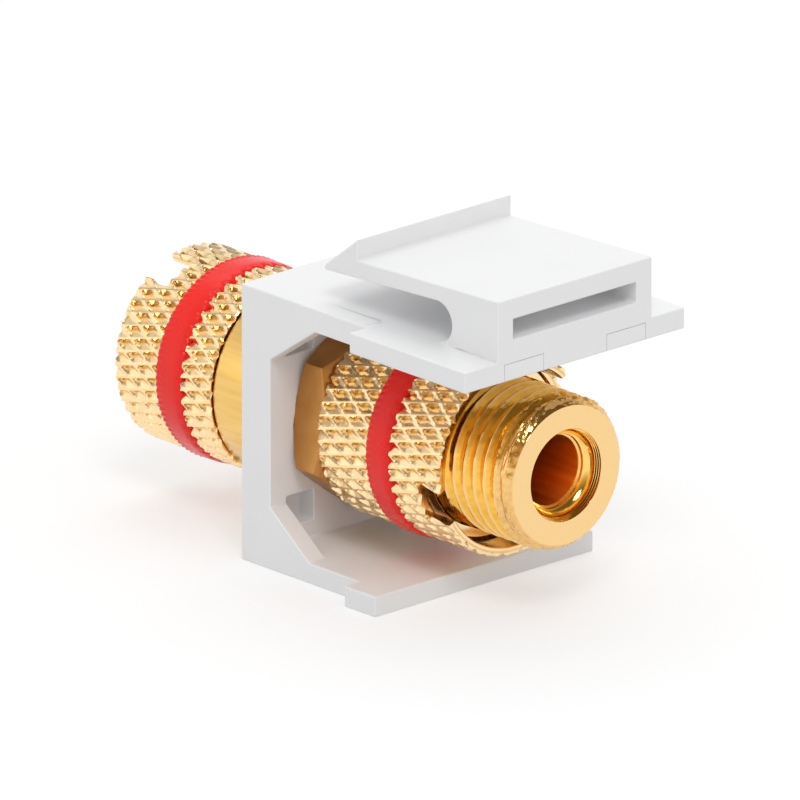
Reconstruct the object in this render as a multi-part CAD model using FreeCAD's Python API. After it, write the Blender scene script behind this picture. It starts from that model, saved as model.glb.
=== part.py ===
"""Double-ended binding post in a moulded snap-in insert for a wall plate.

All sizes are in millimetres. The post's axis is the Y axis, the origin lies on it in the insert's
front face, +Y points to the rear of the insert and +Z points up.
"""
import FreeCAD, Part
import math
import os

# Insert: front plate, top arm and floor arm
INSERT_WIDTH = 14.5
INSERT_HEIGHT = 16.58
PLATE_THICK = 2.4
STRIP_THICK = 1.42
STRIP_LENGTH = 10.37
TAB_THICK = 1.25
TAB_DROP = 0.04
TAB_WING = 1.2
INSERT_DEPTH = 20.03
FLOOR_THICK = 1.23
FLOOR_LENGTH = 12.5
LUG_LENGTH = 2.58
LUG_WING = 1.17

# Insert: side gussets in the four inner corners, and pockets behind the plate
GUSSET_THICK = 1.3
TOP_GUSSET_REACH = 3.75
TOP_GUSSET_DROP = 2.58
FLOOR_GUSSET_REACH = 3.26
FLOOR_GUSSET_RISE = 2.47
POCKET_WIDTH = 2.1
POCKET_HEIGHT = 1.83
POCKET_DEPTH = 1.2
POCKET_SIDE_WALL = 1.3
POCKET_LEVEL = 2.23

# Insert: spring latch above the top arm, heights above the strip's top face
LATCH_WIDTH = 11.85
LATCH_TIP_Y = 5.55
LATCH_TIP_THICK = 0.3
LATCH_FACE_Y = 8.3
LATCH_FACE_RISE = 1.25
LATCH_TOP_FRONT = 3.12
LATCH_TOP_REAR = 3.58
LATCH_GAP_FRONT = 1.9
LATCH_GAP_END_Y = 16.15
LATCH_GAP_RADIUS = 1.22
LATCH_SLOPE_START_Y = 5.5
KEY_SLOT_WIDTH = 9.46
KEY_SLOT_HEIGHT = 1.22
KEY_SLOT_DEPTH = 2.6
KEY_SLOT_LEVEL = 1.1
FOOT_WIDTH = 3.05
FOOT_HEIGHT = 1.06
FOOT_SPACING = 7.85
FOOT_LINE = 0.06

# Post: one turned piece with a collar, a thread and a socket at each end
THREAD_RADIUS = 4.55
POST_REAR_Y = 19.3
POST_FRONT_Y = -10.3
END_CHAMFER = 0.45
COLLAR_RADIUS = 5.7
COLLAR_LENGTH = 4.2
COLLAR_CHAMFER = 0.25
SOCKET_RADIUS = 2.05
SOCKET_DEPTH_REAR = 15.0
SOCKET_DEPTH_FRONT = 10.8
MOUTH_RADIUS = 2.7
MOUTH_STEP = 0.8
MOUTH_DEPTH = 1.4
WIRE_HOLE_RADIUS = 1.4
WIRE_HOLE_OFFSET = 1.65
DRILL_POINT_ANGLE = 118.0

# Panel nut
NUT_FLATS = 10.8
NUT_THICK = 2.36
NUT_TURN = 7.0
NUT_CHAMFER_ANGLE = 30.0

# Clamp knobs
KNOB_RADIUS = 5.85
TOOTH_COUNT = 47
TOOTH_HELIX = 14.5
TOOTH_DEPTH = 0.27
TOOTH_CREST_SHARE = 0.2
KNOB_CHAMFER = 0.12
RIM_BORE_RADIUS = 5.3
RIM_BORE_DEPTH = 2.0
SLOT_WIDTH = 2.2
SLOT_DEPTH = 1.85
SLOT_OFFSET = 0.67
REAR_KNOB_LENGTH = 10.2
REAR_RING_START = 4.2
REAR_RING_WIDTH = 1.75
REAR_KNOB_TURN = 116.4
FRONT_KNOB_LENGTH = 8.03
FRONT_RING_START = 2.5
FRONT_RING_WIDTH = 1.95
FRONT_KNOB_TURN = 18.2

# Colour rings
RING_RADIUS = 5.96
RING_THICK = 0.78
RING_EDGE = 0.2

# Fits
PLATE_HOLE_GAP = 0.1
NUT_THREAD_GAP = 0.02
KNOB_THREAD_GAP = 0.05
RING_GAP = 0.03
KNOB_SEAT_GAP = 0.04

HALF_WIDTH = INSERT_WIDTH / 2
BOTTOM = -INSERT_HEIGHT / 2
TOP = INSERT_HEIGHT / 2
STRIP_UNDERSIDE = TOP - STRIP_THICK
TAB_TOP = TOP - TAB_DROP
FLOOR_TOP = BOTTOM + FLOOR_THICK
NUT_REAR_Y = PLATE_THICK + NUT_THICK
AXIS = FreeCAD.Vector(0, 1, 0)
ORIGIN = FreeCAD.Vector(0, 0, 0)


def box(x_range, y_range, z_range):
    """Block between three pairs of limits."""
    size = [pair[1] - pair[0] for pair in (x_range, y_range, z_range)]
    return Part.makeBox(*size, FreeCAD.Vector(x_range[0], y_range[0], z_range[0]))


def side_prism(outline, x_low, x_high):
    """Side outline, given as (y, z) points, extruded across the insert."""
    points = [FreeCAD.Vector(x_low, y, z) for y, z in outline]
    face = Part.Face(Part.makePolygon(points + points[:1]))
    return face.extrude(FreeCAD.Vector(x_high - x_low, 0, 0))


def turned(outline):
    """Half section, given as (radius, y) points, turned about the post's axis."""
    points = [FreeCAD.Vector(radius, y, 0) for radius, y in outline]
    face = Part.Face(Part.makePolygon(points + points[:1]))
    return face.revolve(ORIGIN, AXIS, 360)


def rod(radius, y_low, y_high):
    """Cylinder on the post's axis."""
    return Part.makeCylinder(radius, y_high - y_low, FreeCAD.Vector(0, y_low, 0), AXIS)


def both_sides(shape):
    """The shape and its mirror image across the insert."""
    return [shape, shape.mirror(ORIGIN, FreeCAD.Vector(1, 0, 0))]


def gussets():
    """Triangular webs that stiffen the plate's corners with both arms."""
    inner_x = HALF_WIDTH - GUSSET_THICK
    upper = [
        (PLATE_THICK, STRIP_UNDERSIDE),
        (PLATE_THICK + TOP_GUSSET_REACH, STRIP_UNDERSIDE),
        (PLATE_THICK, STRIP_UNDERSIDE - TOP_GUSSET_DROP),
    ]
    lower = [
        (PLATE_THICK, FLOOR_TOP),
        (PLATE_THICK + FLOOR_GUSSET_REACH, FLOOR_TOP),
        (PLATE_THICK, FLOOR_TOP + FLOOR_GUSSET_RISE),
    ]
    webs = []
    for outline in (upper, lower):
        webs += both_sides(side_prism(outline, inner_x, HALF_WIDTH))
    return webs


def plate_pockets():
    """Four shallow pockets in the corners of the plate's rear face."""
    x_range = (HALF_WIDTH - POCKET_SIDE_WALL - POCKET_WIDTH, HALF_WIDTH - POCKET_SIDE_WALL)
    y_range = (PLATE_THICK - POCKET_DEPTH, PLATE_THICK)
    z_low = BOTTOM + POCKET_LEVEL
    z_high = TOP - POCKET_LEVEL
    low = box(x_range, y_range, (z_low, z_low + POCKET_HEIGHT))
    high = box(x_range, y_range, (z_high - POCKET_HEIGHT, z_high))
    return both_sides(low) + both_sides(high)


def latch():
    """Spring latch: rooted in the block at the rear, free at its catch at the front."""
    half = LATCH_WIDTH / 2
    gap_end_z = TAB_TOP + LATCH_GAP_RADIUS
    gap_centre_y = LATCH_GAP_END_Y - LATCH_GAP_RADIUS
    gap_top = gap_end_z + LATCH_GAP_RADIUS
    tip_bottom = TOP + LATCH_GAP_FRONT
    beam_front = TOP + LATCH_TOP_FRONT
    outline = [
        (INSERT_DEPTH, TAB_TOP),
        (INSERT_DEPTH, TOP + LATCH_TOP_REAR),
        (LATCH_FACE_Y, beam_front),
        (LATCH_FACE_Y, beam_front + LATCH_FACE_RISE),
        (LATCH_TIP_Y, tip_bottom + LATCH_TIP_THICK),
        (LATCH_TIP_Y, tip_bottom),
        (gap_centre_y, gap_top),
        (gap_centre_y, TAB_TOP),
    ]
    beam = side_prism(outline, -half, half)
    round_end = Part.makeCylinder(
        LATCH_GAP_RADIUS, LATCH_WIDTH, FreeCAD.Vector(-half, gap_centre_y, gap_end_z), FreeCAD.Vector(1, 0, 0)
    )
    return beam.cut(round_end)


def latch_slope():
    """Wedge that takes the strip's top down to the tab's level under the latch."""
    half = LATCH_WIDTH / 2
    outline = [(LATCH_SLOPE_START_Y, TOP), (STRIP_LENGTH, TOP), (STRIP_LENGTH, TAB_TOP)]
    return side_prism(outline, -half, half)


def key_slot():
    """Blind slot in the latch block's rear face."""
    half = KEY_SLOT_WIDTH / 2
    z_low = TOP + KEY_SLOT_LEVEL
    return box((-half, half), (INSERT_DEPTH - KEY_SLOT_DEPTH, INSERT_DEPTH), (z_low, z_low + KEY_SLOT_HEIGHT))


def foot_lines():
    """Fine parting grooves round two feet in the tab's rear face."""
    lines = []
    y_range = (INSERT_DEPTH - FOOT_LINE, INSERT_DEPTH)
    z_low = TAB_TOP - TAB_THICK
    for side in (-1, 1):
        middle = side * FOOT_SPACING / 2
        left, right = middle - FOOT_WIDTH / 2, middle + FOOT_WIDTH / 2
        z_high = z_low + FOOT_HEIGHT
        lines.append(box((left, left + FOOT_LINE), y_range, (z_low, z_high)))
        lines.append(box((right - FOOT_LINE, right), y_range, (z_low, z_high)))
        lines.append(box((left, right), y_range, (z_high - FOOT_LINE, z_high)))
    return lines


def keystone_housing():
    """One-piece moulded insert with its latch."""
    wide = (-HALF_WIDTH, HALF_WIDTH)
    plate = box(wide, (0, PLATE_THICK), (BOTTOM, TOP))
    strip = box(wide, (0, STRIP_LENGTH), (STRIP_UNDERSIDE, TOP))
    tab_half = HALF_WIDTH + TAB_WING
    tab = box((-tab_half, tab_half), (STRIP_LENGTH, INSERT_DEPTH), (TAB_TOP - TAB_THICK, TAB_TOP))
    floor = box(wide, (0, FLOOR_LENGTH), (BOTTOM, FLOOR_TOP))
    lug_half = HALF_WIDTH + LUG_WING
    lug = box((-lug_half, lug_half), (FLOOR_LENGTH - LUG_LENGTH, FLOOR_LENGTH), (BOTTOM, FLOOR_TOP))
    post_hole = rod(THREAD_RADIUS + PLATE_HOLE_GAP, 0, PLATE_THICK)
    body = plate.fuse([strip, tab, floor, lug, latch()] + gussets())
    cuts = [post_hole, latch_slope(), key_slot()] + plate_pockets() + foot_lines()
    return body.cut(cuts).removeSplitter()


def socket(end_y, depth, inward):
    """Plug socket drilled from one end: stepped mouth, bore and drill point."""
    point_height = SOCKET_RADIUS / math.tan(math.radians(DRILL_POINT_ANGLE / 2))
    outline = [
        (0, end_y),
        (MOUTH_RADIUS, end_y),
        (MOUTH_RADIUS, end_y + inward * MOUTH_STEP),
        (SOCKET_RADIUS, end_y + inward * MOUTH_DEPTH),
        (SOCKET_RADIUS, end_y + inward * depth),
        (0, end_y + inward * (depth + point_height)),
    ]
    return turned(outline)


def wire_hole(seat_y, outward):
    """Sideways cross hole just outside a knob's seat, opened when the knob is unscrewed."""
    y = seat_y + outward * WIRE_HOLE_OFFSET
    base = FreeCAD.Vector(-THREAD_RADIUS, y, 0)
    return Part.makeCylinder(WIRE_HOLE_RADIUS, 2 * THREAD_RADIUS, base, FreeCAD.Vector(1, 0, 0))


def post_stud():
    """Turned post with its front collar against the plate."""
    outline = [
        (0, POST_FRONT_Y),
        (THREAD_RADIUS - END_CHAMFER, POST_FRONT_Y),
        (THREAD_RADIUS, POST_FRONT_Y + END_CHAMFER),
        (THREAD_RADIUS, -COLLAR_LENGTH),
        (COLLAR_RADIUS - COLLAR_CHAMFER, -COLLAR_LENGTH),
        (COLLAR_RADIUS, -COLLAR_LENGTH + COLLAR_CHAMFER),
        (COLLAR_RADIUS, 0),
        (THREAD_RADIUS, 0),
        (THREAD_RADIUS, POST_REAR_Y - END_CHAMFER),
        (THREAD_RADIUS - END_CHAMFER, POST_REAR_Y),
        (0, POST_REAR_Y),
    ]
    cuts = [
        socket(POST_REAR_Y, SOCKET_DEPTH_REAR, -1),
        socket(POST_FRONT_Y, SOCKET_DEPTH_FRONT, 1),
        wire_hole(NUT_REAR_Y, 1),
        wire_hole(-COLLAR_LENGTH, -1),
    ]
    return turned(outline).cut(cuts)


def hex_nut():
    """Panel nut with its corners chamfered on both sides."""
    corner = NUT_FLATS / 2 / math.cos(math.radians(30))
    points = []
    for step in range(6):
        angle = math.radians(60 * step + 30 + NUT_TURN)
        points.append(FreeCAD.Vector(corner * math.cos(angle), PLATE_THICK, corner * math.sin(angle)))
    prism = Part.Face(Part.makePolygon(points + points[:1])).extrude(FreeCAD.Vector(0, NUT_THICK, 0))
    flat = NUT_FLATS / 2
    chamfer_depth = (corner - flat) * math.tan(math.radians(NUT_CHAMFER_ANGLE))
    blank = turned(
        [
            (THREAD_RADIUS + NUT_THREAD_GAP, PLATE_THICK),
            (flat, PLATE_THICK),
            (corner, PLATE_THICK + chamfer_depth),
            (corner, NUT_REAR_Y - chamfer_depth),
            (flat, NUT_REAR_Y),
            (THREAD_RADIUS + NUT_THREAD_GAP, NUT_REAR_Y),
        ]
    )
    return prism.common(blank)


def tooth_ring(y, crest):
    """Corners of the knurled section at height y, turned along the helix of its teeth."""
    pitch = 2 * math.pi / TOOTH_COUNT
    half_crest = pitch * TOOTH_CREST_SHARE / 2
    root = KNOB_RADIUS - TOOTH_DEPTH
    twist = math.tan(math.radians(TOOTH_HELIX)) * y / KNOB_RADIUS
    points = []
    for tooth in range(TOOTH_COUNT):
        for angle, radius in ((-half_crest, crest), (half_crest, crest), (pitch / 2, root)):
            turn = tooth * pitch + angle - twist
            points.append(FreeCAD.Vector(radius * math.sin(turn), y, radius * math.cos(turn)))
    return points


def flat_face(points):
    """Flat face inside a closed outline."""
    return Part.Face(Part.makePolygon(points + points[:1]))


def toothed_bar(length):
    """Bar with helical knurling teeth all round and chamfered ends, standing on y = 0."""
    low_crest = KNOB_RADIUS - KNOB_CHAMFER
    levels = [
        (0, low_crest),
        (KNOB_CHAMFER, KNOB_RADIUS),
        (length / 2, KNOB_RADIUS),
        (length - KNOB_CHAMFER, KNOB_RADIUS),
        (length, low_crest),
    ]
    rings = [tooth_ring(y, crest) for y, crest in levels]
    faces = [flat_face(rings[0]), flat_face(rings[-1])]
    for low, high in zip(rings, rings[1:]):
        for corner in range(len(low)):
            after = (corner + 1) % len(low)
            faces.append(flat_face([low[corner], low[after], high[after]]))
            faces.append(flat_face([low[corner], high[after], high[corner]]))
    shell = Part.Shell(faces)
    shell.sewShape()
    return Part.Solid(shell)


def knob_local(length, ring_start, ring_width):
    """Clamp knob with its inner end at y = 0 and its rim, slotted off centre, at y = length."""
    bore = THREAD_RADIUS + KNOB_THREAD_GAP
    groove = RING_RADIUS - RING_THICK - RING_GAP
    ring_end = ring_start + ring_width
    outside = KNOB_RADIUS + RING_THICK
    blank = turned(
        [
            (bore, 0),
            (outside, 0),
            (outside, ring_start - RING_GAP),
            (groove, ring_start - RING_GAP),
            (groove, ring_end + RING_GAP),
            (outside, ring_end + RING_GAP),
            (outside, length),
            (RIM_BORE_RADIUS, length),
            (RIM_BORE_RADIUS, length - RIM_BORE_DEPTH),
            (bore, length - RIM_BORE_DEPTH),
        ]
    )
    slot_sides = (-SLOT_OFFSET - SLOT_WIDTH / 2, -SLOT_OFFSET + SLOT_WIDTH / 2)
    slot = box(slot_sides, (length - SLOT_DEPTH, length), (-KNOB_RADIUS, KNOB_RADIUS))
    return toothed_bar(length).common(blank).cut(slot)


def ring_local(ring_start, ring_width):
    """Colour ring that sits in a knob's groove, with bevelled outer edges."""
    inner = RING_RADIUS - RING_THICK
    end = ring_start + ring_width
    return turned(
        [
            (inner, ring_start),
            (RING_RADIUS - RING_EDGE, ring_start),
            (RING_RADIUS, ring_start + RING_EDGE),
            (RING_RADIUS, end - RING_EDGE),
            (RING_RADIUS - RING_EDGE, end),
            (inner, end),
        ]
    )


def placed(shape, seat_y, to_rear, turn):
    """Knob or ring moved to its seat, facing its end of the post and turned about the axis."""
    if not to_rear:
        shape.rotate(ORIGIN, FreeCAD.Vector(0, 0, 1), 180)
    shape.rotate(ORIGIN, AXIS, turn)
    shape.translate(FreeCAD.Vector(0, seat_y, 0))
    return shape


rear_seat = NUT_REAR_Y + KNOB_SEAT_GAP
front_seat = -COLLAR_LENGTH - KNOB_SEAT_GAP

nodes = {
    "keystone_housing": keystone_housing(),
    "post_stud": post_stud(),
    "panel_nut": hex_nut(),
    "rear_clamp_knob": placed(
        knob_local(REAR_KNOB_LENGTH, REAR_RING_START, REAR_RING_WIDTH), rear_seat, True, REAR_KNOB_TURN
    ),
    "rear_colour_ring": placed(ring_local(REAR_RING_START, REAR_RING_WIDTH), rear_seat, True, 0),
    "front_clamp_knob": placed(
        knob_local(FRONT_KNOB_LENGTH, FRONT_RING_START, FRONT_RING_WIDTH), front_seat, False, FRONT_KNOB_TURN
    ),
    "front_colour_ring": placed(ring_local(FRONT_RING_START, FRONT_RING_WIDTH), front_seat, False, 0),
}

os.makedirs("parts", exist_ok=True)
for name, shape in nodes.items():
    solids = shape.Solids
    print(name, "solids", len(solids), "valid", shape.isValid(), "volume", round(shape.Volume, 2))
    solids[0].exportStep("parts/" + name + ".step")
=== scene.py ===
"""Looks of a double-ended binding post in a moulded snap-in insert.

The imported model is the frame. Meshes are worked out in millimetres and stored in metres. The post's
axis is Y, +Y points to the rear, +Z points up. Angles round the axis are 0 at the top and grow to +X.
Where nothing else is said, the sizes below are in millimetres and the angles in degrees.
"""
import math

import bmesh
import bpy
from mathutils import Matrix, Vector, noise


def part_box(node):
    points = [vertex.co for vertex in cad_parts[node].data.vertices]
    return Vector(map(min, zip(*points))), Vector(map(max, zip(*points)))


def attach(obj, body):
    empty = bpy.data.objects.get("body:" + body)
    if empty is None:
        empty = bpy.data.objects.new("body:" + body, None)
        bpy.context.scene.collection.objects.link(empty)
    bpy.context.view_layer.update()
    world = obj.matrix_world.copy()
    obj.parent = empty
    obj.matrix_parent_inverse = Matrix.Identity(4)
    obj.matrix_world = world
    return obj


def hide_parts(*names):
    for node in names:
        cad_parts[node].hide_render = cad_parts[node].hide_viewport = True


MM = 0.001
TURN = 2 * math.pi
QUARTER_TURN = math.pi / 2

# Clean-up of meshes, distances in metres
JOIN_DISTANCE = 1e-7
SLIVER_LENGTH = 1e-8
CAD_JOIN_DISTANCE = 2e-7
CAD_SLIVER_LENGTH = 1e-7
CAD_FLAT_ANGLE = 0.5

# Edges that get rounded, and the angles over which an edge stays sharp in the shading
ROUNDED_EDGE_ANGLE = 28
ROUNDING_STEPS = 3
INSERT_ROUNDING = 0.1
NUT_ROUNDING = 0.08
INSERT_SHARP_ANGLE = 30
NUT_SHARP_ANGLE = 30
POST_SHARP_ANGLE = 32
KNOB_SHARP_ANGLE = 38
RING_SHARP_ANGLE = 50

# Insert's rear tab and the parting lines round its two feet
TAB_TOP = 8.25
TAB_THICK = 1.25
FOOT_WIDTH = 3.05
FOOT_HEIGHT = 1.06
FOOT_SPACING = 7.85
FOOT_LINE_DEPTH = 0.06
FOOT_LINE_REACH = 0.2

# Post's thread. A station is a place in the pitch with its share of the thread's height
PITCH = 0.85
CREST_RADIUS = 4.55
THREAD_DEPTH = 0.5
THREAD_COLUMNS = 220
THREAD_STATIONS = (
    (0.0, 1.0), (0.035, 0.99), (0.06, 0.93), (0.17, 0.69), (0.28, 0.43), (0.39, 0.17), (0.46, 0.02),
    (0.54, 0.02), (0.61, 0.17), (0.72, 0.43), (0.83, 0.69), (0.94, 0.93), (0.965, 0.99),
)
END_SLOPE = 1.0
RUN_OUT_SLOPE = 2.0
SPARE_TURNS = 3

# A crest lies at this y on the +X side, and the shift is the rest of the turn from there
CREST_PLACE_Y = 18.99
CREST_PLACE_SHIFT = 0.75

# Wear of the thread. A grain is the noise's fineness round the axis and along it
CREST_WEAR = 0.03
CREST_GRAIN = (9.0, 6)
END_WEAR = 0.1
END_WEAR_START = 17.9
END_WEAR_SINK = 0.2
END_GRAIN = (26.0, 9)
CRUMPLE_GRAIN = (18.0, 16)
CRUMPLE_RISE = 8
END_FILL = 0.2
END_RIPPLE = 0.05
END_RIPPLE_STEP = 0.36
END_RIPPLE_START = 18.4
RIPPLE_LEVEL = 0.6
RIPPLE_GRAIN = (7.0, 3)

# Post's ends, collar, sockets and cross holes. The mouth is depth from the end face and radius
END_CHAMFER = 0.45
COLLAR_LENGTH = 4.2
COLLAR_CHAMFER = 0.25
COLLAR_CHAMFER_MIDDLE = 0.07
COLLAR_REAR_CHAMFER = 0.05
SOCKET_MOUTH = (
    (0.0, 2.74), (0.03, 2.71), (0.14, 2.7), (0.16, 2.67), (0.28, 2.665), (0.3, 2.635), (0.42, 2.63),
    (0.44, 2.6), (0.56, 2.59), (0.68, 2.55), (0.8, 2.48), (0.9, 2.4), (0.98, 2.32), (1.02, 2.24),
    (1.16, 2.2), (1.19, 2.15), (1.23, 2.08), (1.3, 2.05),
)
SOCKET_DEPTH_REAR = 15.0
SOCKET_DEPTH_FRONT = 10.8
SOCKET_RADIUS = 2.05
DRILL_POINT_HEIGHT = 1.23
WIRE_HOLE_RADIUS = 1.4
WIRE_HOLE_PLACES = (6.41, -5.85)
WIRE_HOLE_SIDES = 48
WIRE_HOLE_REACH = 6.0

# Knobs' knurl. A profile is places in the pitch with their share of the knurl's height
KNOB_RADIUS = 5.85
FIRST_TEETH = 47
FIRST_HELIX = 14.5
SECOND_TEETH = 33
SECOND_HELIX = -32.0
KNURL_DEPTH = 0.29
FIRST_PROFILE = ((0.0, 1.0), (0.055, 1.0), (0.74, 0.0), (0.945, 1.0), (1.0, 1.0))
SECOND_PROFILE = (
    (0.0, 1.0), (0.05, 1.0), (0.14, 0.0), (0.44, 0.0), (0.8, 0.8), (0.96, 1.0), (1.0, 1.0),
)
KNURL_STATIONS = (0.0, 0.055, 0.16, 0.27, 0.38, 0.49, 0.6, 0.67, 0.74, 0.84, 0.945)
KNURL_ROW = 0.072
KNOB_GRAIN = 0.012
KNOB_GRAIN_FINENESS = 3.5
KNOB_CHAMFER = 0.08

# The y at which the first teeth are at their phase, and the phase
REAR_PHASE = (8.0, 4.7)
FRONT_PHASE = (-10.0, 5.3)

# Knobs' bores, slot and groove
RIM_BORE_RADIUS = 5.3
RIM_BORE_DEPTH = 2.0
RIM_BORE_CHAMFER = 0.06
RIM_BORE_FILLET = 0.15
THREAD_BORE_RADIUS = 4.6
THREAD_BORE_CHAMFER = 0.1
KNOB_SLOT_WIDTH = 2.2
KNOB_SLOT_DEPTH = 1.85
KNOB_SLOT_OFFSET = 0.67
KNOB_SLOT_REACH = 0.5
KNOB_SLOT_HALF_LENGTH = 7
REAR_SLOT_TURN = 116.4
FRONT_SLOT_TURN = 18.2
GROOVE_RADIUS = 5.15

# Rings. The edge is depth under the ring's radius and share of its half width, and the places below
# are such shares too
RING_COLUMNS = FIRST_TEETH * 12
RING_GAP = 0.03
RING_GAP_FILL = 0.8
RING_EDGE = (
    (0.3, 1.0), (0.09, 1.0), (0.03, 0.95), (0.012, 0.86), (0.006, 0.76), (0.003, 0.64), (0.001, 0.5),
    (0.0, 0.3),
)
IMPRINT_DEPTH = 0.2
IMPRINT_START = 0.7
IMPRINT_WIDTH = 0.3
RING_BULGE = 0.06
RING_DENT = 0.05
BULGE_MIDDLE = -0.84
BULGE_HALF_WIDTH = 0.32
NEAR_FALL = 0.13
NEAR_FALL_START = 0.4
NEAR_FALL_WIDTH = 0.6

# Materials: noise scales are per metre, spreads are the noise's values that the tones run between
CLOUD_SCALE = 700.0
CLOUD_SPREAD = (0.35, 0.7)
TURNING_SCALE = 9000.0
SPECKLE_SCALE = 4200.0
DENT_SCALE = 2600.0
STREAK_SCALE = 2600.0
STREAK_SQUEEZE = 0.06
STREAK_SPREAD = (0.35, 0.65)
SKIN_SPREAD = (0.3, 0.7)
PLASTIC_CLOUD_SCALE = 260.0
GOLD_RELIEF = 0.004
ZONE_RADIUS_FADE = 0.1
ZONE_Y_FADE = 0.05
PLASTIC_IOR = 1.5
SOFT_DEPTH = 0.4

# Camera, whose lens is given in pixels
IMAGE_SIZE = 800
FOCAL_PIXELS = 35000.0
SENSOR_WIDTH = 36.0
CAMERA_DISTANCE = 1985.8
CAMERA_AZIMUTH = 42.59
CAMERA_PITCH = 19.1
CAMERA_TARGET = Vector((0, 7, -0.29))
TARGET_PIXEL = (418.8, 427.6)

# Floor: its own glow is for light that spreads, for the eye and what is added for polished faces
FLOOR_HALF = 600.0
FLOOR_GAP = 0.01
FLOOR_GREY = 0.5
FLOOR_BLUE_SHARE = 1.01
FLOOR_CLOUD_SCALE = 40.0
FLOOR_GLOW = 0.25
FLOOR_SEEN_GLOW = 0.5
FLOOR_MIRRORED_GLOW = 0.05

# Surroundings: each ramp is a part of the direction, from and to, and the light's values there
AMBIENT = 0.65
SIDE_GLARE = (0.1, 0.5, 0.0, 0.3)
LOW_GLARE = (0.1, 0.45, 1.0, 0.0)
BACK_CEILING = (0.35, 0.8, 1.0, 0.4)
FRONT_CEILING = (0.0, 0.65, 1.0, 0.15)
FRONT_SIDE = (0.0, 0.35, 0.0, 1.0)
WARM_HEIGHT = (0.0, 0.3, 0.0, 1.0)
WHITE = (1, 1, 1)
WARM_WALL = (1, 0.7, 0.28)

# Lamps: name, place, size and watts
LAMPS = (("key", (570, 720, 1190), 500, 5.6), ("top", (-400, -400, 1350), 1200, 5.5))
LAMP_AIM = (0, 5, 0)

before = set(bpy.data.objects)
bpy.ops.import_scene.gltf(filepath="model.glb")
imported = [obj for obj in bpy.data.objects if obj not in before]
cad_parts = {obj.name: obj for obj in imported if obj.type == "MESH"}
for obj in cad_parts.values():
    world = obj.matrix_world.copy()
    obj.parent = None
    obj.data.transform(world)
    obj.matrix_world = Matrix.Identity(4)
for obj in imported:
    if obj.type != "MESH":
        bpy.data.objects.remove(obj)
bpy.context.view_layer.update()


def box_mm(node):
    """Lowest and highest corner of a CAD node in millimetres."""
    low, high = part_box(node)
    return low / MM, high / MM


def on_axis(radius, y, angle):
    """Point at a radius and angle round the post's axis."""
    return (radius * math.sin(angle), y, radius * math.cos(angle))


def wave(angle):
    """Smooth wave between 0 and 1."""
    return 0.5 + 0.5 * math.cos(angle)


def placed(name, data):
    """New object in the scene."""
    item = bpy.data.objects.new(name, data)
    bpy.context.scene.collection.objects.link(item)
    return item


def stored(name, points, faces):
    """New object from points in millimetres, with doubled points joined and faces turned outwards."""
    mesh = bpy.data.meshes.new(name)
    mesh.from_pydata([Vector(point) * MM for point in points], [], faces)
    shape = bmesh.new()
    shape.from_mesh(mesh)
    bmesh.ops.remove_doubles(shape, verts=shape.verts, dist=JOIN_DISTANCE)
    bmesh.ops.dissolve_degenerate(shape, edges=shape.edges, dist=SLIVER_LENGTH)
    bmesh.ops.recalc_face_normals(shape, faces=shape.faces)
    shape.to_mesh(mesh)
    shape.free()
    return placed(name, mesh)


def block(name, low, high):
    """Box between two corners in millimetres."""
    corners = [(x, y, z) for x in (low[0], high[0]) for y in (low[1], high[1]) for z in (low[2], high[2])]
    faces = [(0, 1, 3, 2), (4, 6, 7, 5), (0, 4, 5, 1), (2, 3, 7, 6), (0, 2, 6, 4), (1, 5, 7, 3)]
    return stored(name, corners, faces)


def skin(rows, closed):
    """Points and quads between successive rows of points, each row a closed ring."""
    count = len(rows[0])
    points = [point for row in rows for point in row]
    faces = []
    for index in range(len(rows) if closed else len(rows) - 1):
        here = index * count
        there = (index + 1) % len(rows) * count
        for column in range(count):
            after = (column + 1) % count
            faces.append((here + column, here + after, there + after, there + column))
    return points, faces


def settle(piece):
    """Applies the piece's modifiers to its mesh."""
    depsgraph = bpy.context.evaluated_depsgraph_get()
    mesh = bpy.data.meshes.new_from_object(piece.evaluated_get(depsgraph))
    piece.modifiers.clear()
    piece.data = mesh


def cut_away(piece, cutters):
    """Takes the cutters' shapes out of the piece and removes the cutters."""
    for cutter in cutters:
        step = piece.modifiers.new("cut", "BOOLEAN")
        step.operation = "DIFFERENCE"
        step.solver = "EXACT"
        step.object = cutter
    settle(piece)
    for cutter in cutters:
        bpy.data.objects.remove(cutter)


def shade(piece, sharp_angle):
    """Soft shading apart from edges over the given angle."""
    mesh = piece.data
    mesh.polygons.foreach_set("use_smooth", [True] * len(mesh.polygons))
    mesh.set_sharp_from_angle(angle=math.radians(sharp_angle))


def even_normals(piece):
    """Lets the flat faces keep their own direction up to the rounded edges."""
    step = piece.modifiers.new("even", "WEIGHTED_NORMAL")
    step.weight = 100
    step.keep_sharp = True
    settle(piece)


def finish_piece(piece, body, node, material):
    """Gives a piece its finish and body, and hides the CAD node that it stands for."""
    piece.data.materials.clear()
    piece.data.materials.append(material)
    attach(piece, body)
    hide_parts(node)


# Materials


def node_tree(name):
    """New node material with its shader and object coordinates."""
    material = bpy.data.materials.new(name)
    material.use_nodes = True
    tree = material.node_tree
    shader = tree.nodes["Principled BSDF"]
    place = tree.nodes.new("ShaderNodeTexCoord").outputs["Object"]
    return material, tree, shader, place


def noise_value(tree, place, scale, detail=3.0):
    """Noise value at a place."""
    texture = tree.nodes.new("ShaderNodeTexNoise")
    texture.inputs["Scale"].default_value = scale
    texture.inputs["Detail"].default_value = detail
    tree.links.new(place, texture.inputs["Vector"])
    return texture.outputs["Fac"]


def ranged(tree, value, from_low, from_high, to_low=0.0, to_high=1.0):
    """Value carried from one range to another."""
    step = tree.nodes.new("ShaderNodeMapRange")
    for socket, number in zip(step.inputs[1:5], (from_low, from_high, to_low, to_high)):
        socket.default_value = number
    tree.links.new(value, step.inputs["Value"])
    return step.outputs["Result"]


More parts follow.
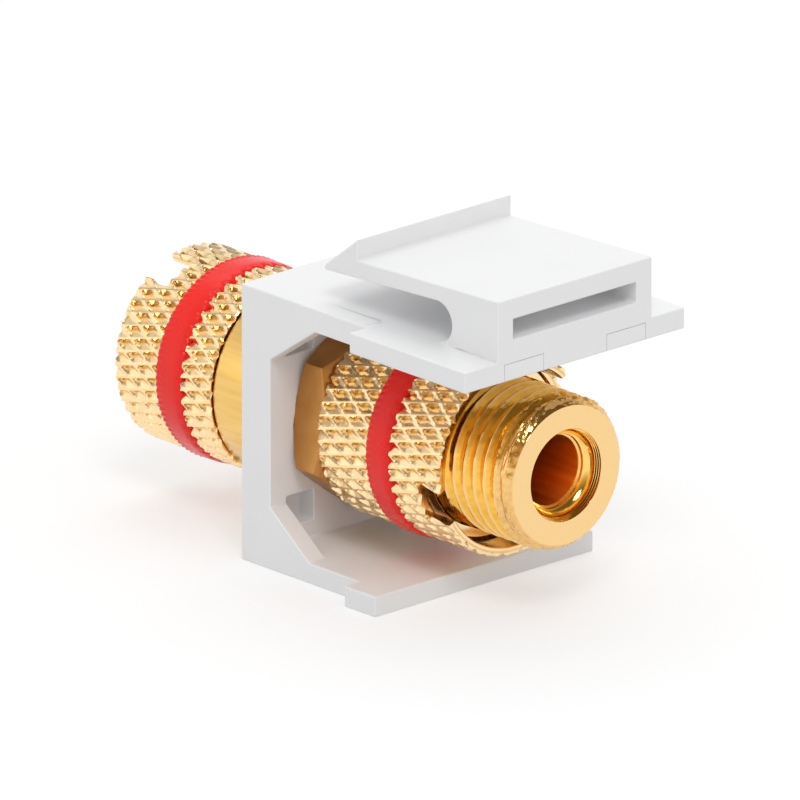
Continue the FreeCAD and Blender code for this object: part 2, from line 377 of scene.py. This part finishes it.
def blended(tree, operation, first, second):
    """Two values joined by a maths operation; the second may be a plain number."""
    step = tree.nodes.new("ShaderNodeMath")
    step.operation = operation
    tree.links.new(first, step.inputs[0])
    if isinstance(second, float):
        step.inputs[1].default_value = second
    else:
        tree.links.new(second, step.inputs[1])
    return step.outputs["Value"]


def mixed_colour(tree, factor, low, high):
    """Colour between two, by a factor."""
    mix = tree.nodes.new("ShaderNodeMix")
    mix.data_type = "RGBA"
    mix.inputs["A"].default_value = (*low, 1)
    mix.inputs["B"].default_value = (*high, 1)
    tree.links.new(factor, mix.inputs["Factor"])
    return mix.outputs["Result"]


def changed_colour(tree, factor, colour, target):
    """Colour that turns to another by a factor."""
    mix = tree.nodes.new("ShaderNodeMix")
    mix.data_type = "RGBA"
    tree.links.new(factor, mix.inputs["Factor"])
    tree.links.new(colour, mix.inputs["A"])
    tree.links.new(target, mix.inputs["B"])
    return mix.outputs["Result"]


def changed_value(tree, factor, value, target):
    """Value that turns to a plain number by a factor."""
    mix = tree.nodes.new("ShaderNodeMix")
    tree.links.new(value, mix.inputs["A"])
    mix.inputs["B"].default_value = target
    tree.links.new(factor, mix.inputs["Factor"])
    return mix.outputs["Result"]


def bumped(tree, shader, height, distance):
    """Fine relief on the shader's normal, its height in millimetres."""
    bump = tree.nodes.new("ShaderNodeBump")
    bump.inputs["Strength"].default_value = 1.0
    bump.inputs["Distance"].default_value = distance * MM
    tree.links.new(height, bump.inputs["Height"])
    tree.links.new(bump.outputs["Normal"], shader.inputs["Normal"])


def axis_places(tree, place):
    """Coordinates (radius, y, 0), the same all round the post's axis, and the radius and y alone."""
    apart = tree.nodes.new("ShaderNodeSeparateXYZ")
    tree.links.new(place, apart.inputs["Vector"])
    flat = tree.nodes.new("ShaderNodeCombineXYZ")
    tree.links.new(apart.outputs["X"], flat.inputs["X"])
    tree.links.new(apart.outputs["Z"], flat.inputs["Z"])
    length = tree.nodes.new("ShaderNodeVectorMath")
    length.operation = "LENGTH"
    tree.links.new(flat.outputs["Vector"], length.inputs[0])
    joined = tree.nodes.new("ShaderNodeCombineXYZ")
    tree.links.new(length.outputs["Value"], joined.inputs["X"])
    tree.links.new(apart.outputs["Y"], joined.inputs["Y"])
    return joined.outputs["Vector"], length.outputs["Value"], apart.outputs["Y"]


def squeezed(tree, place, factor):
    """Coordinates drawn together along the post's axis, which stretches a noise along it."""
    step = tree.nodes.new("ShaderNodeVectorMath")
    step.operation = "MULTIPLY"
    step.inputs[1].default_value = (1, factor, 1)
    tree.links.new(place, step.inputs[0])
    return step.outputs["Vector"]


def inside(tree, value, limits, fade):
    """1 where a value in metres lies between two limits in millimetres."""
    above = ranged(tree, value, limits[0] * MM, (limits[0] + fade) * MM)
    below = ranged(tree, value, (limits[1] - fade) * MM, limits[1] * MM, 1.0, 0.0)
    return blended(tree, "MULTIPLY", above, below)


def zone(tones, radii, along, roughness=None, wear=0.0):
    """Area of the plating between limits of radius and of y, with its own tones, roughness and wear."""
    return tones, radii, along, roughness, wear


def gold(name, tones, roughness, turning, zones=()):
    """Gold plating with a cloudy tone and faint marks, of which a share is from turning."""
    material, tree, shader, place = node_tree(name)
    shader.inputs["Metallic"].default_value = 1.0
    rings, radius, y = axis_places(tree, place)
    cloud = noise_value(tree, place, CLOUD_SCALE)
    marks = noise_value(tree, rings, TURNING_SCALE, 2.0)
    speckle = noise_value(tree, place, SPECKLE_SCALE, 4.0)
    dents = noise_value(tree, place, DENT_SCALE, 2.0)
    lengthwise = noise_value(tree, squeezed(tree, place, STREAK_SQUEEZE), STREAK_SCALE)
    streaks = ranged(tree, lengthwise, *STREAK_SPREAD)
    colour = mixed_colour(tree, ranged(tree, cloud, *CLOUD_SPREAD), *tones)
    rough = ranged(tree, speckle, *SKIN_SPREAD, *roughness)
    turned = ranged(tree, marks, 0.0, 1.0, 0.0, turning)
    pitted = ranged(tree, speckle, 0.0, 1.0, 0.0, 1.0 - turning)
    relief = blended(tree, "ADD", turned, pitted)
    for zone_tones, radii, along, zone_roughness, wear in zones:
        within_radii = inside(tree, radius, radii, ZONE_RADIUS_FADE)
        factor = blended(tree, "MULTIPLY", within_radii, inside(tree, y, along, ZONE_Y_FADE))
        colour = changed_colour(tree, factor, colour, mixed_colour(tree, streaks, *zone_tones))
        if zone_roughness:
            rough = changed_value(tree, factor, rough, zone_roughness)
        if wear:
            worn = blended(tree, "MULTIPLY", blended(tree, "MULTIPLY", factor, dents), wear)
            relief = blended(tree, "ADD", relief, worn)
    tree.links.new(colour, shader.inputs["Base Color"])
    tree.links.new(rough, shader.inputs["Roughness"])
    bumped(tree, shader, relief, GOLD_RELIEF)
    return material


def plastic(name, tones, roughness, shine, soft, grain_scale, grain_depth):
    """Moulded plastic with a faint skin texture and slight tone changes."""
    material, tree, shader, place = node_tree(name)
    cloud = noise_value(tree, place, PLASTIC_CLOUD_SCALE, 2.0)
    grain = noise_value(tree, place, grain_scale, 2.0)
    colour = mixed_colour(tree, ranged(tree, cloud, *SKIN_SPREAD), *tones)
    tree.links.new(colour, shader.inputs["Base Color"])
    tree.links.new(ranged(tree, grain, *SKIN_SPREAD, *roughness), shader.inputs["Roughness"])
    shader.inputs["IOR"].default_value = PLASTIC_IOR
    shader.inputs["Specular IOR Level"].default_value = shine
    shader.inputs["Subsurface Weight"].default_value = soft
    shader.inputs["Subsurface Scale"].default_value = SOFT_DEPTH * MM
    bumped(tree, shader, grain, grain_depth)
    return material


white_plastic = plastic(
    "white_moulding",
    tones=((0.885, 0.888, 0.895), (0.872, 0.875, 0.882)),
    roughness=(0.3, 0.38),
    shine=0.5,
    soft=0.0,
    grain_scale=420.0,
    grain_depth=0.004,
)
red_plastic = plastic(
    "red_ring_plastic",
    tones=((0.96, 0.024, 0.015), (0.9, 0.016, 0.012)),
    roughness=(0.25, 0.34),
    shine=0.3,
    soft=0.25,
    grain_scale=900.0,
    grain_depth=0.006,
)
# Painted shade: a deeper, darker amber on the thread's flanks and roots, while the crest tips keep the
# paler gold
thread_groove_shade_zone = zone(((0.94, 0.54, 0.1), (0.88, 0.47, 0.07)), (3.0, 4.5), (-12.3, 19.2))
collar_zone = zone(((0.86, 0.56, 0.18), (0.79, 0.49, 0.13)), (4.6, 6.2), (-4.3, 0.05), roughness=0.18)
# Painted bounce light: the bore gets a redder tone than the gold outside, standing in for light reddened
# by bouncing round inside it
socket_bounce_light_zone = zone(((1.0, 0.57, 0.15), (0.88, 0.4, 0.08)), (-1.0, 2.16), (-20.0, 30.0), roughness=0.3)
mouth_zone = zone(((0.96, 0.66, 0.2), (0.94, 0.62, 0.17)), (2.1, 2.8), (-20.0, 30.0))
worn_zone = zone(((0.9, 0.57, 0.22), (0.78, 0.47, 0.17)), (4.08, 5.2), (18.2, 19.6), 0.16, wear=5.0)
end_face_zone = zone(((0.9, 0.62, 0.29), (0.89, 0.61, 0.28)), (2.68, 4.16), (19.24, 19.6))
# Painted shade: a darker, browner tone deep in the knurl's pits, at the foot of the teeth
pit_shade_zone = zone(((0.78, 0.54, 0.26), (0.68, 0.45, 0.19)), (5.46, 5.67), (-20.0, 20.0))
post_gold = gold(
    "turned_gold",
    tones=((0.93, 0.62, 0.26), (0.9, 0.58, 0.22)),
    roughness=(0.1, 0.17),
    turning=0.7,
    zones=(thread_groove_shade_zone, collar_zone, socket_bounce_light_zone, mouth_zone, worn_zone, end_face_zone),
)
knurled_gold = gold(
    "knurled_gold",
    tones=((0.98, 0.74, 0.42), (0.94, 0.67, 0.34)),
    roughness=(0.12, 0.2),
    turning=0.2,
    zones=(pit_shade_zone,),
)
dull_gold = gold(
    "nut_gold",
    tones=((0.56, 0.27, 0.08), (0.5, 0.23, 0.06)),
    roughness=(0.3, 0.42),
    turning=0.3,
)


# Insert and nut, from the CAD shapes


def rounded_copy(node, name, radius, flatten=None):
    """Copy of a CAD node's mesh with its flat faces joined and its edges rounded."""
    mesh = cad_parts[node].data.copy()
    mesh.name = name
    shape = bmesh.new()
    shape.from_mesh(mesh)
    if flatten:
        flatten(shape)
    flat = math.radians(CAD_FLAT_ANGLE)
    bmesh.ops.remove_doubles(shape, verts=shape.verts, dist=CAD_JOIN_DISTANCE)
    bmesh.ops.dissolve_degenerate(shape, edges=shape.edges, dist=CAD_SLIVER_LENGTH)
    bmesh.ops.dissolve_limit(shape, angle_limit=flat, verts=shape.verts, edges=shape.edges)
    shape.to_mesh(mesh)
    shape.free()
    piece = placed(name, mesh)
    bevel = piece.modifiers.new("round", "BEVEL")
    bevel.width = radius * MM
    bevel.segments = ROUNDING_STEPS
    bevel.limit_method = "ANGLE"
    bevel.angle_limit = math.radians(ROUNDED_EDGE_ANGLE)
    bevel.use_clamp_overlap = False
    settle(piece)
    return piece


def fill_foot_lines(shape):
    """Closes the parting lines round the feet, which are cut again after the edges are rounded."""
    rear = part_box("keystone_housing")[1].y
    for vertex in shape.verts:
        if rear - 1.2 * FOOT_LINE_DEPTH * MM < vertex.co.y < rear:
            vertex.co.y = rear


def foot_line_cutters():
    """Thin blocks for the parting lines round the two feet of the rear tab."""
    rear = box_mm("keystone_housing")[1].y
    bottom = TAB_TOP - TAB_THICK
    below = bottom - FOOT_LINE_REACH
    ledge = bottom + FOOT_HEIGHT
    cutters = []
    for side in (-1, 1):
        middle = side * FOOT_SPACING / 2
        left, right = middle - FOOT_WIDTH / 2, middle + FOOT_WIDTH / 2
        for x_low, x_high, z_low, z_high in (
            (left, left + FOOT_LINE_DEPTH, below, ledge),
            (right - FOOT_LINE_DEPTH, right, below, ledge),
            (left, right, ledge - FOOT_LINE_DEPTH, ledge),
        ):
            low = (x_low, rear - FOOT_LINE_DEPTH, z_low)
            high = (x_high, rear + FOOT_LINE_REACH, z_high)
            cutters.append(block("foot_line", low, high))
    return cutters


def insert_moulding():
    """White insert with rounded moulded edges."""
    piece = rounded_copy("keystone_housing", "insert_moulding", INSERT_ROUNDING, fill_foot_lines)
    cut_away(piece, foot_line_cutters())
    shade(piece, INSERT_SHARP_ANGLE)
    even_normals(piece)
    finish_piece(piece, "insert", "keystone_housing", white_plastic)


def hexagon_nut():
    """Panel nut with its edges broken."""
    piece = rounded_copy("panel_nut", "hexagon_nut", NUT_ROUNDING)
    shade(piece, NUT_SHARP_ANGLE)
    even_normals(piece)
    finish_piece(piece, "insert", "panel_nut", dull_gold)


# Post


def wear_noise(grain, y, angle):
    """Noise on the post's skin."""
    return noise.noise(Vector(on_axis(grain[0], grain[1] * y, angle)))


def thread_radius(height, y, y_end, angle):
    """Thread's radius at a share of its height, with worn crests and rippled last turns."""
    wear = CREST_WEAR * height * wear_noise(CREST_GRAIN, y, angle)
    if y > END_WEAR_START:
        wear += END_WEAR * (height - END_WEAR_SINK) * wear_noise(END_GRAIN, y, angle)
    radius = CREST_RADIUS - THREAD_DEPTH * (1 - height) + wear
    if y > END_RIPPLE_START:
        level = RIPPLE_LEVEL + wear_noise(RIPPLE_GRAIN, y, angle)
        ripple = END_RIPPLE * (1 + math.sin(TURN * (y_end - y) / END_RIPPLE_STEP)) * level
        radius = max(radius, CREST_RADIUS - END_FILL) - ripple
    return radius


def thread_rows(y_low, y_high, low_radius, high_radius, low_slope, high_slope):
    """Rows along a right-hand thread, run out to a given radius at both ends."""
    per_turn = len(THREAD_STATIONS)
    first = (CREST_PLACE_Y - y_low) / PITCH
    offset = first - math.floor(first) + CREST_PLACE_SHIFT
    turns = math.ceil((y_high - y_low) / PITCH) + SPARE_TURNS
    rows = []
    for index in range(turns * per_turn):
        station, height = THREAD_STATIONS[index % per_turn]
        along = index // per_turn + station
        row = []
        for column in range(THREAD_COLUMNS):
            angle = TURN * column / THREAD_COLUMNS
            y = y_low + (along + column / THREAD_COLUMNS - SPARE_TURNS + offset) * PITCH
            if y <= y_low:
                row.append(on_axis(low_radius, y_low, angle))
                continue
            if y >= y_high:
                row.append(on_axis(high_radius, y_high, angle))
                continue
            low_limit = low_radius + (y - y_low) * low_slope
            high_limit = high_radius + (y_high - y) * high_slope
            if y > END_WEAR_START:
                rise = min(1.0, CRUMPLE_RISE * (y_high - y))
                high_limit += END_WEAR * wear_noise(CRUMPLE_GRAIN, y, angle) * rise
            radius = min(thread_radius(height, y, y_high, angle), low_limit, high_limit)
            row.append(on_axis(radius, y, angle))
        rows.append(row)
    return rows


def threaded_post():
    """Turned post with threads, collar, sockets and cross holes.

    A join says how many rows further on a row closes: a turn's rows in a thread, none in a circle.
    """
    low, high = box_mm("post_stud")
    collar = high.x
    root = CREST_RADIUS - THREAD_DEPTH
    end = CREST_RADIUS - END_CHAMFER
    count = THREAD_COLUMNS
    rows = []
    joins = []

    def add_circles(pairs):
        for radius, y in pairs:
            rows.append([on_axis(radius, y, TURN * column / count) for column in range(count)])
            joins.append(0)

    def add_thread(*limits):
        made = thread_rows(*limits)
        rows.extend(made)
        joins.extend(min(len(THREAD_STATIONS), len(made) - 1 - index) for index in range(len(made)))

    front_bottom = low.y + SOCKET_DEPTH_FRONT
    add_circles([(0.0, front_bottom + DRILL_POINT_HEIGHT), (SOCKET_RADIUS, front_bottom)])
    add_circles([(radius, low.y + depth) for depth, radius in reversed(SOCKET_MOUTH)])
    add_circles([(end, low.y)])
    add_thread(low.y, -COLLAR_LENGTH, end, root, END_SLOPE, RUN_OUT_SLOPE)
    add_circles([
        (collar - COLLAR_CHAMFER, -COLLAR_LENGTH),
        (collar - COLLAR_CHAMFER_MIDDLE, -COLLAR_LENGTH + COLLAR_CHAMFER_MIDDLE),
        (collar, -COLLAR_LENGTH + COLLAR_CHAMFER),
        (collar, -COLLAR_REAR_CHAMFER),
        (collar - COLLAR_REAR_CHAMFER, 0),
    ])
    add_thread(0, high.y, root, end, RUN_OUT_SLOPE, END_SLOPE)
    add_circles([(radius, high.y - depth) for depth, radius in SOCKET_MOUTH])
    rear_bottom = high.y - SOCKET_DEPTH_REAR
    add_circles([(SOCKET_RADIUS, rear_bottom), (0.0, rear_bottom - DRILL_POINT_HEIGHT)])

    points = [point for row in rows for point in row]
    faces = []
    for index in range(len(rows) - 1):
        here = index * count
        there = here + count
        for column in range(count - 1):
            faces.append((here + column, here + column + 1, there + column + 1, there + column))
        first_here = here + joins[index] * count
        first_there = there + joins[index + 1] * count
        faces.append((here + count - 1, first_here, first_there, there + count - 1))
    piece = stored("threaded_post", points, faces)
    cut_away(piece, [cross_rod(y) for y in WIRE_HOLE_PLACES])
    shade(piece, POST_SHARP_ANGLE)
    finish_piece(piece, "insert", "post_stud", post_gold)


def cross_rod(y):
    """Cutter for a cross hole along X."""
    count = WIRE_HOLE_SIDES
    radius = WIRE_HOLE_RADIUS
    angles = [TURN * side / count for side in range(count)]
    circle = [(y + radius * math.cos(angle), radius * math.sin(angle)) for angle in angles]
    rows = [[(x, *place) for place in circle] for x in (-WIRE_HOLE_REACH, WIRE_HOLE_REACH)]
    points, faces = skin(rows, False)
    faces += [tuple(range(count)), tuple(range(2 * count - 1, count - 1, -1))]
    return stored("cross_rod", points, faces)


# Knobs and rings


def ridge(offset, profile):
    """Height from 0 to 1 of a row of ridges at an offset in ridge pitches."""
    place = offset - math.floor(offset)
    for (start, low), (end, high) in zip(profile, profile[1:]):
        if place <= end:
            return low + (high - low) * (place - start) / (end - start)
    return 1.0


def knurled_knob(name, node, ring_node, body, to_rear, phase, slot_turn):
    """Clamp knob with a crossed knurl, a groove for its ring and a slotted rim."""
    low, high = box_mm(node)
    ring_low, ring_high = box_mm(ring_node)
    seat, rim, sign = (low.y, high.y, 1) if to_rear else (high.y, low.y, -1)
    length = abs(rim - seat)
    ring_edges = sorted(abs(y - seat) for y in (ring_low.y, ring_high.y))
    groove = (ring_edges[0] - RING_GAP, ring_edges[1] + RING_GAP)
    first_slope = math.tan(math.radians(FIRST_HELIX)) / KNOB_RADIUS
    second_slope = math.tan(math.radians(SECOND_HELIX)) / KNOB_RADIUS
    offsets = [tooth + station for tooth in range(FIRST_TEETH) for station in KNURL_STATIONS]
    phase_y, phase_angle = phase

    def angle_at(offset, y):
        rise = math.radians(phase_angle) + TURN * offset / FIRST_TEETH + first_slope * (y - phase_y)
        return QUARTER_TURN - rise

    def knurled(y):
        row = []
        edge = min(abs(y - seat), abs(rim - y))
        for offset in offsets:
            angle = angle_at(offset, y)
            rise = QUARTER_TURN - angle
            second = (rise - second_slope * (y - phase_y)) * SECOND_TEETH / TURN
            height = max(ridge(offset, FIRST_PROFILE), ridge(second, SECOND_PROFILE))
            place = on_axis(KNOB_RADIUS * KNOB_GRAIN_FINENESS, y * KNOB_GRAIN_FINENESS, angle)
            grain = noise.noise(Vector(place))
            radius = KNOB_RADIUS - KNURL_DEPTH * (1 - height) - KNOB_GRAIN + KNOB_GRAIN * grain
            row.append(on_axis(min(radius, KNOB_RADIUS - KNOB_CHAMFER + edge), y, angle))
        return row

    def plain(radius, y):
        return [on_axis(radius, y, angle_at(offset, y)) for offset in offsets]

    def section(start, end):
        steps = max(2, round((end - start) / KNURL_ROW))
        depths = [start + (end - start) * step / steps for step in range(steps + 1)]
        return [knurled(seat + sign * depth) for depth in depths]

    rows = section(0.0, groove[0])
    rows += [plain(GROOVE_RADIUS, seat + sign * edge) for edge in groove]
    rows += section(groove[1], length)
    bores = [
        (RIM_BORE_RADIUS + RIM_BORE_CHAMFER, length),
        (RIM_BORE_RADIUS, length - RIM_BORE_CHAMFER),
        (RIM_BORE_RADIUS, length - RIM_BORE_DEPTH + RIM_BORE_FILLET),
        (RIM_BORE_RADIUS - RIM_BORE_FILLET, length - RIM_BORE_DEPTH),
        (THREAD_BORE_RADIUS, length - RIM_BORE_DEPTH),
        (THREAD_BORE_RADIUS, THREAD_BORE_CHAMFER),
        (THREAD_BORE_RADIUS + THREAD_BORE_CHAMFER, 0.0),
    ]
    rows += [plain(radius, seat + sign * depth) for radius, depth in bores]
    piece = stored(name, *skin(rows, True))
    cut_away(piece, [slot_cutter(rim, sign, slot_turn)])
    shade(piece, KNOB_SHARP_ANGLE)
    finish_piece(piece, body, node, knurled_gold)


def slot_cutter(rim, sign, turn):
    """Cutter for the slot across a knob's rim."""
    half = KNOB_SLOT_WIDTH / 2
    reach = KNOB_SLOT_HALF_LENGTH
    middle = -sign * KNOB_SLOT_OFFSET
    ends = sorted((rim - sign * KNOB_SLOT_DEPTH, rim + sign * KNOB_SLOT_REACH))
    cutter = block("slot_cutter", (middle - half, ends[0], -reach), (middle + half, ends[1], reach))
    cutter.data.transform(Matrix.Rotation(math.radians(turn), 4, "Y"))
    return cutter


def colour_ring(name, node, body, phase):
    """Red ring: teeth's imprint on its +Y edge, which falls away, and bumps along its -Y edge."""
    low, high = box_mm(node)
    outer = high.x
    inner = GROOVE_RADIUS + RING_GAP
    phase_y, phase_angle = phase
    slope = math.tan(math.radians(FIRST_HELIX)) / outer
    middle = (low.y + high.y) / 2
    half = (high.y - low.y) / 2 + RING_GAP_FILL * RING_GAP
    edge = [(inner, 1.0)] + [(outer - depth, share) for depth, share in RING_EDGE]
    rows = []
    for radius, share in edge + [(radius, -share) for radius, share in reversed(edge)]:
        y = middle + half * share
        reach = 0.0
        if radius > outer - IMPRINT_DEPTH:
            reach = max(0.0, share - IMPRINT_START) / IMPRINT_WIDTH
        fall = 0.0
        if radius > inner:
            fall = NEAR_FALL * max(0.0, (share - NEAR_FALL_START) / NEAR_FALL_WIDTH) ** 2
        bulge_share = max(0.0, 1 - abs(share - BULGE_MIDDLE) / BULGE_HALF_WIDTH)
        row = []
        for column in range(RING_COLUMNS):
            angle = TURN * column / RING_COLUMNS
            rise = QUARTER_TURN - angle - math.radians(phase_angle) - slope * (y - phase_y)
            lump = wave(2 * FIRST_TEETH * rise)
            bulge = (RING_BULGE * lump - RING_DENT * (1 - lump)) * bulge_share
            imprint = IMPRINT_DEPTH * wave(FIRST_TEETH * rise) ** 2 * reach
            row.append(on_axis(radius + bulge - fall - imprint, y, angle))
        rows.append(row)
    piece = stored(name, *skin(rows, True))
    shade(piece, RING_SHARP_ANGLE)
    finish_piece(piece, body, node, red_plastic)


# Camera, floor and light


def camera_axes():
    """Right, up and backward directions of the view."""
    azimuth, pitch = math.radians(CAMERA_AZIMUTH), math.radians(CAMERA_PITCH)
    flat = math.cos(pitch)
    back = Vector((math.sin(azimuth) * flat, math.cos(azimuth) * flat, math.sin(pitch)))
    right = Vector((-math.cos(azimuth), math.sin(azimuth), 0))
    return right, back.cross(right), back


def photo_camera():
    """Camera at the photograph's angle and framing."""
    right, up, back = camera_axes()
    scale = FOCAL_PIXELS / CAMERA_DISTANCE
    aside = (TARGET_PIXEL[0] - IMAGE_SIZE / 2) / scale
    below = (TARGET_PIXEL[1] - IMAGE_SIZE / 2) / scale
    centre = CAMERA_TARGET - right * aside + up * below
    data = bpy.data.cameras.new("photo_camera")
    data.sensor_width = SENSOR_WIDTH
    data.lens = FOCAL_PIXELS * SENSOR_WIDTH / IMAGE_SIZE
    camera = placed("photo_camera", data)
    turn = Matrix((right, up, back)).transposed().to_4x4()
    camera.matrix_world = Matrix.Translation((centre + back * CAMERA_DISTANCE) * MM) @ turn
    bpy.context.scene.camera = camera


def ray_kind(tree, *names):
    """1 for rays of the given kinds."""
    rays = tree.nodes.new("ShaderNodeLightPath")
    value = rays.outputs[names[0]]
    for name in names[1:]:
        value = blended(tree, "MAXIMUM", value, rays.outputs[name])
    return value


def white_floor():
    """Pale floor under the insert that keeps the object's shadow."""
    level = box_mm("keystone_housing")[0].z - FLOOR_GAP
    half = FLOOR_HALF
    corners = [(x, y, level) for x, y in ((-half, -half), (half, -half), (half, half), (-half, half))]
    floor = stored("floor", corners, [(0, 1, 2, 3)])
    material, tree, shader, place = node_tree("pale_floor")
    grey = (FLOOR_GREY, FLOOR_GREY, FLOOR_GREY)
    cool = (FLOOR_GREY, FLOOR_GREY, FLOOR_GREY * FLOOR_BLUE_SHARE)
    tint = mixed_colour(tree, noise_value(tree, place, FLOOR_CLOUD_SCALE), grey, cool)
    tree.links.new(tint, shader.inputs["Base Color"])
    shader.inputs["Roughness"].default_value = 1.0
    shader.inputs["Specular IOR Level"].default_value = 0.0
    shader.inputs["Emission Color"].default_value = (*WHITE, 1)
    seen = ray_kind(tree, "Is Camera Ray", "Is Glossy Ray", "Is Transmission Ray")
    mirrored = ray_kind(tree, "Is Glossy Ray")
    seen_glow = ranged(tree, seen, 0.0, 1.0, FLOOR_GLOW, FLOOR_SEEN_GLOW)
    mirrored_glow = ranged(tree, mirrored, 0.0, 1.0, 0.0, FLOOR_MIRRORED_GLOW)
    strength = blended(tree, "ADD", seen_glow, mirrored_glow)
    tree.links.new(strength, shader.inputs["Emission Strength"])
    floor.data.materials.append(material)


def studio_world():
    """White surroundings, where polished faces see glare at +X, a warm dim +Y and a dim ceiling."""
    world = bpy.data.worlds.new("studio")
    bpy.context.scene.world = world
    world.use_nodes = True
    tree = world.node_tree
    sky = tree.nodes["Background"]
    direction = tree.nodes.new("ShaderNodeTexCoord").outputs["Generated"]
    apart = tree.nodes.new("ShaderNodeSeparateXYZ")
    tree.links.new(direction, apart.inputs["Vector"])
    across, along, up = apart.outputs
    glare = blended(tree, "MULTIPLY", ranged(tree, across, *SIDE_GLARE), ranged(tree, up, *LOW_GLARE))
    back = blended(tree, "ADD", ranged(tree, up, *BACK_CEILING), glare)
    front = ranged(tree, up, *FRONT_CEILING)
    towards = ranged(tree, along, *FRONT_SIDE)
    change = blended(tree, "MULTIPLY", blended(tree, "SUBTRACT", front, back), towards)
    wall = blended(tree, "ADD", back, change)
    polished = ray_kind(tree, "Is Glossy Ray")
    reflected = blended(tree, "MULTIPLY", blended(tree, "SUBTRACT", wall, AMBIENT), polished)
    strength = blended(tree, "ADD", reflected, AMBIENT)
    seen = ray_kind(tree, "Is Camera Ray", "Is Transmission Ray")
    tree.links.new(blended(tree, "MAXIMUM", strength, seen), sky.inputs["Strength"])
    high_front = blended(tree, "MULTIPLY", towards, ranged(tree, up, *WARM_HEIGHT))
    warm = blended(tree, "MULTIPLY", high_front, polished)
    tree.links.new(mixed_colour(tree, warm, WHITE, WARM_WALL), sky.inputs["Color"])


def softbox(name, place, size, watts):
    """Square area light in millimetres, aimed at the post."""
    data = bpy.data.lights.new(name, "AREA")
    data.shape = "SQUARE"
    data.size = size * MM
    data.energy = watts
    lamp = placed(name, data)
    back = (Vector(place) - Vector(LAMP_AIM)).normalized()
    turn = back.to_track_quat("Z", "Y").to_matrix().to_4x4()
    lamp.matrix_world = Matrix.Translation(Vector(place) * MM) @ turn


insert_moulding()
hexagon_nut()
threaded_post()
knurled_knob(
    "rear_knob_knurled", "rear_clamp_knob", "rear_colour_ring", "rear_knob", True,
    REAR_PHASE, REAR_SLOT_TURN,
)
knurled_knob(
    "front_knob_knurled", "front_clamp_knob", "front_colour_ring", "front_knob", False,
    FRONT_PHASE, FRONT_SLOT_TURN,
)
colour_ring("rear_ring_moulded", "rear_colour_ring", "rear_ring", REAR_PHASE)
colour_ring("front_ring_moulded", "front_colour_ring", "front_ring", FRONT_PHASE)
photo_camera()
white_floor()
studio_world()
for lamp in LAMPS:
    softbox(*lamp)

bpy.context.scene.view_settings.view_transform = "Standard"
